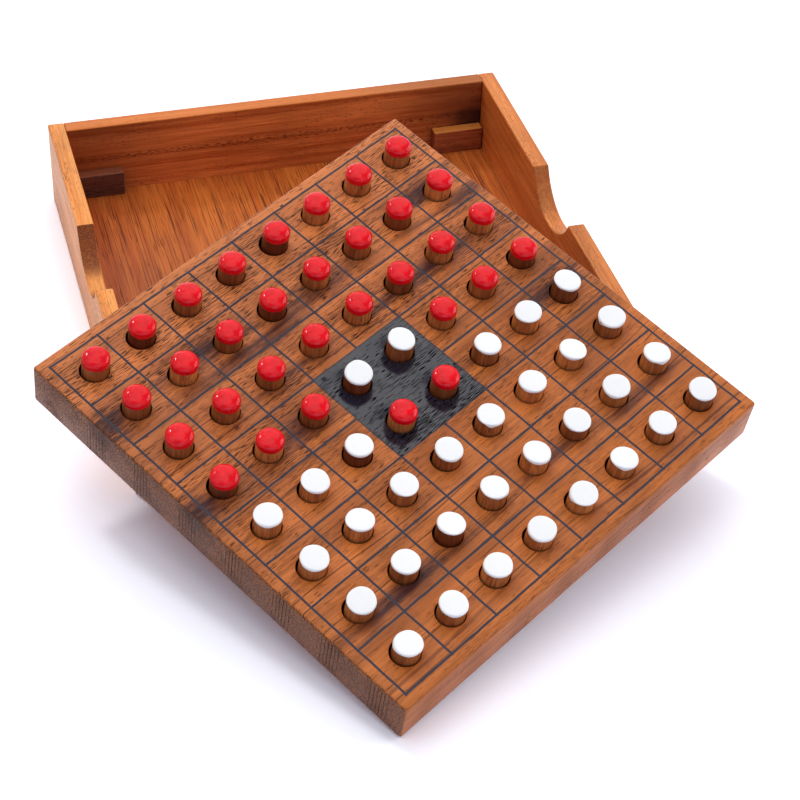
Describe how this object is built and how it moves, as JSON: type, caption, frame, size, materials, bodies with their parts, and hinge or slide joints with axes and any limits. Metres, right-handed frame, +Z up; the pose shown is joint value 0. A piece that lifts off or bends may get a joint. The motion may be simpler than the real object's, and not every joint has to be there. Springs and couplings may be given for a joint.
{
  "type": "reversi board game",
  "caption": "Wooden reversi game set out for play: thick peg board leaning on its open storage tray, red and white ended pegs standing in its holes.",
  "frame": {"origin": "middle of the tray's underside, on the table", "axes": "+Z up, +X to the right along the tray's front wall, +Y from the leaning board's low corner towards the tray's back wall"},
  "size_m": [0.2018, 0.2747, 0.071],
  "materials": {
    "board_wood": "oiled open-grained hardwood, inked grid, middle four squares stained black",
    "tray_wood": "satin lacquered hardwood",
    "floor_panel": "veneered panel, satin",
    "block_wood": "plain hardwood strip",
    "red_enamel": "red gloss enamel on the dowel end that stands up",
    "white_enamel": "white enamel on the dowel end that stands up",
    "peg_wood": "bare dowel side"
  },
  "bodies": {
    "tray": {"tray_floor": "floor_panel", "tray_front_wall": "tray_wood", "tray_back_wall": "tray_wood", "tray_left_wall": "tray_wood", "tray_right_wall": "tray_wood", "corner_block_front_left": "block_wood", "corner_block_front_right": "block_wood", "corner_block_back_left": "block_wood", "corner_block_back_right": "block_wood"},
    "board": {"play_board": "board_wood"},
    "pegs_rank_1": {"pegs_rank_1": "white_enamel"},
    "pegs_rank_2": {"pegs_rank_2": "white_enamel"},
    "peg_a3": {"peg_a3": "white_enamel"},
    "peg_b3": {"peg_b3": "white_enamel"},
    "peg_c3": {"peg_c3": "white_enamel"},
    "peg_d3": {"peg_d3": "white_enamel"},
    "peg_e3": {"peg_e3": "white_enamel"},
    "peg_f3": {"peg_f3": "white_enamel"},
    "peg_g3": {"peg_g3": "white_enamel"},
    "peg_h3": {"peg_h3": "white_enamel"},
    "peg_a4": {"peg_a4": "white_enamel"},
    "peg_b4": {"peg_b4": "white_enamel"},
    "peg_c4": {"peg_c4": "white_enamel"},
    "peg_d4": {"peg_d4": "red_enamel"},
    "peg_e4": {"peg_e4": "red_enamel"},
    "peg_f4": {"peg_f4": "white_enamel"},
    "peg_g4": {"peg_g4": "white_enamel"},
    "peg_h4": {"peg_h4": "white_enamel"},
    "peg_a5": {"peg_a5": "red_enamel"},
    "peg_b5": {"peg_b5": "red_enamel"},
    "peg_c5": {"peg_c5": "red_enamel"},
    "peg_d5": {"peg_d5": "white_enamel"},
    "peg_e5": {"peg_e5": "white_enamel"},
    "peg_f5": {"peg_f5": "red_enamel"},
    "peg_g5": {"peg_g5": "red_enamel"},
    "peg_h5": {"peg_h5": "red_enamel"},
    "peg_a6": {"peg_a6": "red_enamel"},
    "peg_b6": {"peg_b6": "red_enamel"},
    "peg_c6": {"peg_c6": "red_enamel"},
    "peg_d6": {"peg_d6": "red_enamel"},
    "peg_e6": {"peg_e6": "red_enamel"},
    "peg_f6": {"peg_f6": "red_enamel"},
    "peg_g6": {"peg_g6": "red_enamel"},
    "peg_h6": {"peg_h6": "red_enamel"},
    "peg_a7": {"peg_a7": "red_enamel"},
    "peg_b7": {"peg_b7": "red_enamel"},
    "peg_c7": {"peg_c7": "red_enamel"},
    "peg_d7": {"peg_d7": "red_enamel"},
    "peg_e7": {"peg_e7": "red_enamel"},
    "peg_f7": {"peg_f7": "red_enamel"},
    "peg_g7": {"peg_g7": "red_enamel"},
    "peg_h7": {"peg_h7": "red_enamel"},
    "peg_a8": {"peg_a8": "red_enamel"},
    "peg_b8": {"peg_b8": "red_enamel"},
    "peg_c8": {"peg_c8": "red_enamel"},
    "peg_d8": {"peg_d8": "red_enamel"},
    "peg_e8": {"peg_e8": "red_enamel"},
    "peg_f8": {"peg_f8": "red_enamel"},
    "peg_g8": {"peg_g8": "red_enamel"},
    "peg_h8": {"peg_h8": "red_enamel"}
  },
  "joints": [
    {"name": "lift_board", "type": "slide", "parent": "tray", "child": "board", "axis": [0, 0, 1], "range_m": [0, 0.12]},
    {"name": "lift_rank_1", "type": "slide", "parent": "board", "child": "pegs_rank_1", "axis": [0, -0.2642, 0.9645], "range_m": [0, 0.015]},
    {"name": "lift_rank_2", "type": "slide", "parent": "board", "child": "pegs_rank_2", "axis": [0, -0.2642, 0.9645], "range_m": [0, 0.015]},
    {"name": "lift_a3", "type": "slide", "parent": "board", "child": "peg_a3", "axis": [0, -0.2642, 0.9645], "range_m": [0, 0.015]},
    {"name": "lift_b3", "type": "slide", "parent": "board", "child": "peg_b3", "axis": [0, -0.2642, 0.9645], "range_m": [0, 0.015]},
    {"name": "lift_c3", "type": "slide", "parent": "board", "child": "peg_c3", "axis": [0, -0.2642, 0.9645], "range_m": [0, 0.015]},
    {"name": "lift_d3", "type": "slide", "parent": "board", "child": "peg_d3", "axis": [0, -0.2642, 0.9645], "range_m": [0, 0.015]},
    {"name": "lift_e3", "type": "slide", "parent": "board", "child": "peg_e3", "axis": [0, -0.2642, 0.9645], "range_m": [0, 0.015]},
    {"name": "lift_f3", "type": "slide", "parent": "board", "child": "peg_f3", "axis": [0, -0.2642, 0.9645], "range_m": [0, 0.015]},
    {"name": "lift_g3", "type": "slide", "parent": "board", "child": "peg_g3", "axis": [0, -0.2642, 0.9645], "range_m": [0, 0.015]},
    {"name": "lift_h3", "type": "slide", "parent": "board", "child": "peg_h3", "axis": [0, -0.2642, 0.9645], "range_m": [0, 0.015]},
    {"name": "lift_a4", "type": "slide", "parent": "board", "child": "peg_a4", "axis": [0, -0.2642, 0.9645], "range_m": [0, 0.015]},
    {"name": "lift_b4", "type": "slide", "parent": "board", "child": "peg_b4", "axis": [0, -0.2642, 0.9645], "range_m": [0, 0.015]},
    {"name": "lift_c4", "type": "slide", "parent": "board", "child": "peg_c4", "axis": [0, -0.2642, 0.9645], "range_m": [0, 0.015]},
    {"name": "lift_d4", "type": "slide", "parent": "board", "child": "peg_d4", "axis": [0, -0.2642, 0.9645], "range_m": [0, 0.015]},
    {"name": "lift_e4", "type": "slide", "parent": "board", "child": "peg_e4", "axis": [0, -0.2642, 0.9645], "range_m": [0, 0.015]},
    {"name": "lift_f4", "type": "slide", "parent": "board", "child": "peg_f4", "axis": [0, -0.2642, 0.9645], "range_m": [0, 0.015]},
    {"name": "lift_g4", "type": "slide", "parent": "board", "child": "peg_g4", "axis": [0, -0.2642, 0.9645], "range_m": [0, 0.015]},
    {"name": "lift_h4", "type": "slide", "parent": "board", "child": "peg_h4", "axis": [0, -0.2642, 0.9645], "range_m": [0, 0.015]},
    {"name": "lift_a5", "type": "slide", "parent": "board", "child": "peg_a5", "axis": [0, -0.2642, 0.9645], "range_m": [0, 0.015]},
    {"name": "lift_b5", "type": "slide", "parent": "board", "child": "peg_b5", "axis": [0, -0.2642, 0.9645], "range_m": [0, 0.015]},
    {"name": "lift_c5", "type": "slide", "parent": "board", "child": "peg_c5", "axis": [0, -0.2642, 0.9645], "range_m": [0, 0.015]},
    {"name": "lift_d5", "type": "slide", "parent": "board", "child": "peg_d5", "axis": [0, -0.2642, 0.9645], "range_m": [0, 0.015]},
    {"name": "lift_e5", "type": "slide", "parent": "board", "child": "peg_e5", "axis": [0, -0.2642, 0.9645], "range_m": [0, 0.015]},
    {"name": "lift_f5", "type": "slide", "parent": "board", "child": "peg_f5", "axis": [0, -0.2642, 0.9645], "range_m": [0, 0.015]},
    {"name": "lift_g5", "type": "slide", "parent": "board", "child": "peg_g5", "axis": [0, -0.2642, 0.9645], "range_m": [0, 0.015]},
    {"name": "lift_h5", "type": "slide", "parent": "board", "child": "peg_h5", "axis": [0, -0.2642, 0.9645], "range_m": [0, 0.015]},
    {"name": "lift_a6", "type": "slide", "parent": "board", "child": "peg_a6", "axis": [0, -0.2642, 0.9645], "range_m": [0, 0.015]},
    {"name": "lift_b6", "type": "slide", "parent": "board", "child": "peg_b6", "axis": [0, -0.2642, 0.9645], "range_m": [0, 0.015]},
    {"name": "lift_c6", "type": "slide", "parent": "board", "child": "peg_c6", "axis": [0, -0.2642, 0.9645], "range_m": [0, 0.015]},
    {"name": "lift_d6", "type": "slide", "parent": "board", "child": "peg_d6", "axis": [0, -0.2642, 0.9645], "range_m": [0, 0.015]},
    {"name": "lift_e6", "type": "slide", "parent": "board", "child": "peg_e6", "axis": [0, -0.2642, 0.9645], "range_m": [0, 0.015]},
    {"name": "lift_f6", "type": "slide", "parent": "board", "child": "peg_f6", "axis": [0, -0.2642, 0.9645], "range_m": [0, 0.015]},
    {"name": "lift_g6", "type": "slide", "parent": "board", "child": "peg_g6", "axis": [0, -0.2642, 0.9645], "range_m": [0, 0.015]},
    {"name": "lift_h6", "type": "slide", "parent": "board", "child": "peg_h6", "axis": [0, -0.2642, 0.9645], "range_m": [0, 0.015]},
    {"name": "lift_a7", "type": "slide", "parent": "board", "child": "peg_a7", "axis": [0, -0.2642, 0.9645], "range_m": [0, 0.015]},
    {"name": "lift_b7", "type": "slide", "parent": "board", "child": "peg_b7", "axis": [0, -0.2642, 0.9645], "range_m": [0, 0.015]},
    {"name": "lift_c7", "type": "slide", "parent": "board", "child": "peg_c7", "axis": [0, -0.2642, 0.9645], "range_m": [0, 0.015]},
    {"name": "lift_d7", "type": "slide", "parent": "board", "child": "peg_d7", "axis": [0, -0.2642, 0.9645], "range_m": [0, 0.015]},
    {"name": "lift_e7", "type": "slide", "parent": "board", "child": "peg_e7", "axis": [0, -0.2642, 0.9645], "range_m": [0, 0.015]},
    {"name": "lift_f7", "type": "slide", "parent": "board", "child": "peg_f7", "axis": [0, -0.2642, 0.9645], "range_m": [0, 0.015]},
    {"name": "lift_g7", "type": "slide", "parent": "board", "child": "peg_g7", "axis": [0, -0.2642, 0.9645], "range_m": [0, 0.015]},
    {"name": "lift_h7", "type": "slide", "parent": "board", "child": "peg_h7", "axis": [0, -0.2642, 0.9645], "range_m": [0, 0.015]},
    {"name": "lift_a8", "type": "slide", "parent": "board", "child": "peg_a8", "axis": [0, -0.2642, 0.9645], "range_m": [0, 0.015]},
    {"name": "lift_b8", "type": "slide", "parent": "board", "child": "peg_b8", "axis": [0, -0.2642, 0.9645], "range_m": [0, 0.015]},
    {"name": "lift_c8", "type": "slide", "parent": "board", "child": "peg_c8", "axis": [0, -0.2642, 0.9645], "range_m": [0, 0.015]},
    {"name": "lift_d8", "type": "slide", "parent": "board", "child": "peg_d8", "axis": [0, -0.2642, 0.9645], "range_m": [0, 0.015]},
    {"name": "lift_e8", "type": "slide", "parent": "board", "child": "peg_e8", "axis": [0, -0.2642, 0.9645], "range_m": [0, 0.015]},
    {"name": "lift_f8", "type": "slide", "parent": "board", "child": "peg_f8", "axis": [0, -0.2642, 0.9645], "range_m": [0, 0.015]},
    {"name": "lift_g8", "type": "slide", "parent": "board", "child": "peg_g8", "axis": [0, -0.2642, 0.9645], "range_m": [0, 0.015]},
    {"name": "lift_h8", "type": "slide", "parent": "board", "child": "peg_h8", "axis": [0, -0.2642, 0.9645], "range_m": [0, 0.015]}
  ]
}
